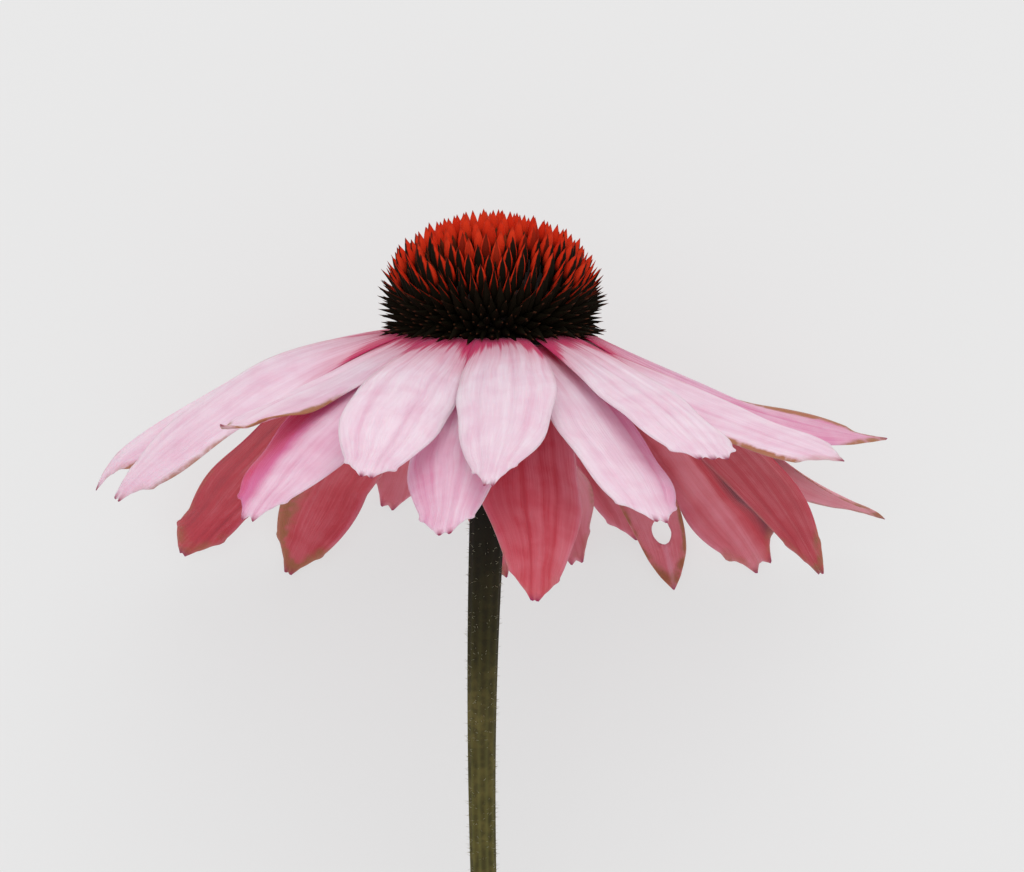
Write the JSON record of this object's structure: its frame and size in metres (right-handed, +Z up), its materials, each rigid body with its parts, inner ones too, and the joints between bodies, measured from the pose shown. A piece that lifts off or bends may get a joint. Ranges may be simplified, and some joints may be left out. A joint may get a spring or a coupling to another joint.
{
  "type": "cut coneflower",
  "caption": "A single cut coneflower lying on its side: domed spiky orange-brown cone, a skirt of drooping pink ray florets, green bracts underneath and a bare green stem.",
  "frame": {"origin": "bottom centre of the bounding box, on the surface that the flower lies on", "axes": "+Z up from the surface, +Y from the cut end towards the cone along the stem's shadow, +X to the right seen from above with the cone at the top"},
  "size_m": [0.1156, 0.161, 0.0864],
  "materials": {
    "petal": "satin petal, pale pink with magenta veins and base, browned edges and small purple tip teeth",
    "petal_shaded": "satin petal seen from its rose underside, olive-brown at the tip and edges",
    "cone": "stiff glossy paleae, orange-red with pale sharp tips at the top, nearly black-brown low down",
    "stem": "finely ridged and hairy, near black olive under the head, mottled olive green lower down",
    "bract": "matte green leaf with pale hairs on the margin and a lighter midrib"
  },
  "bodies": {
    "root": {"stem": "stem", "cone": "cone", "ray_floret_01": "petal", "ray_floret_02": "petal_shaded", "ray_floret_03": "petal_shaded", "ray_floret_04": "petal_shaded", "ray_floret_05": "petal_shaded", "ray_floret_06": "petal_shaded", "ray_floret_07": "petal_shaded", "ray_floret_08": "petal_shaded", "ray_floret_09": "petal_shaded", "ray_floret_10": "petal_shaded", "ray_floret_11": "petal_shaded", "ray_floret_12": "petal", "ray_floret_13": "petal", "ray_floret_14": "petal", "ray_floret_15": "petal", "ray_floret_16": "petal", "ray_floret_17": "petal", "ray_floret_18": "petal", "ray_floret_19": "petal_shaded", "ray_floret_20": "petal", "ray_floret_21": "petal", "ray_floret_22": "petal", "bract_inner_01": "bract", "bract_inner_02": "bract", "bract_inner_03": "bract", "bract_inner_04": "bract", "bract_inner_05": "bract", "bract_inner_06": "bract", "bract_inner_07": "bract", "bract_inner_08": "bract", "bract_inner_09": "bract", "bract_inner_10": "bract", "bract_inner_11": "bract", "bract_inner_12": "bract", "bract_inner_13": "bract", "bract_outer_01": "bract", "bract_outer_02": "bract", "bract_outer_03": "bract", "bract_outer_04": "bract", "bract_outer_05": "bract", "bract_outer_06": "bract", "bract_outer_07": "bract", "bract_outer_08": "bract", "bract_outer_09": "bract", "bract_outer_10": "bract", "bract_outer_11": "bract", "bract_outer_12": "bract", "bract_outer_13": "bract"}
  },
  "joints": []
}
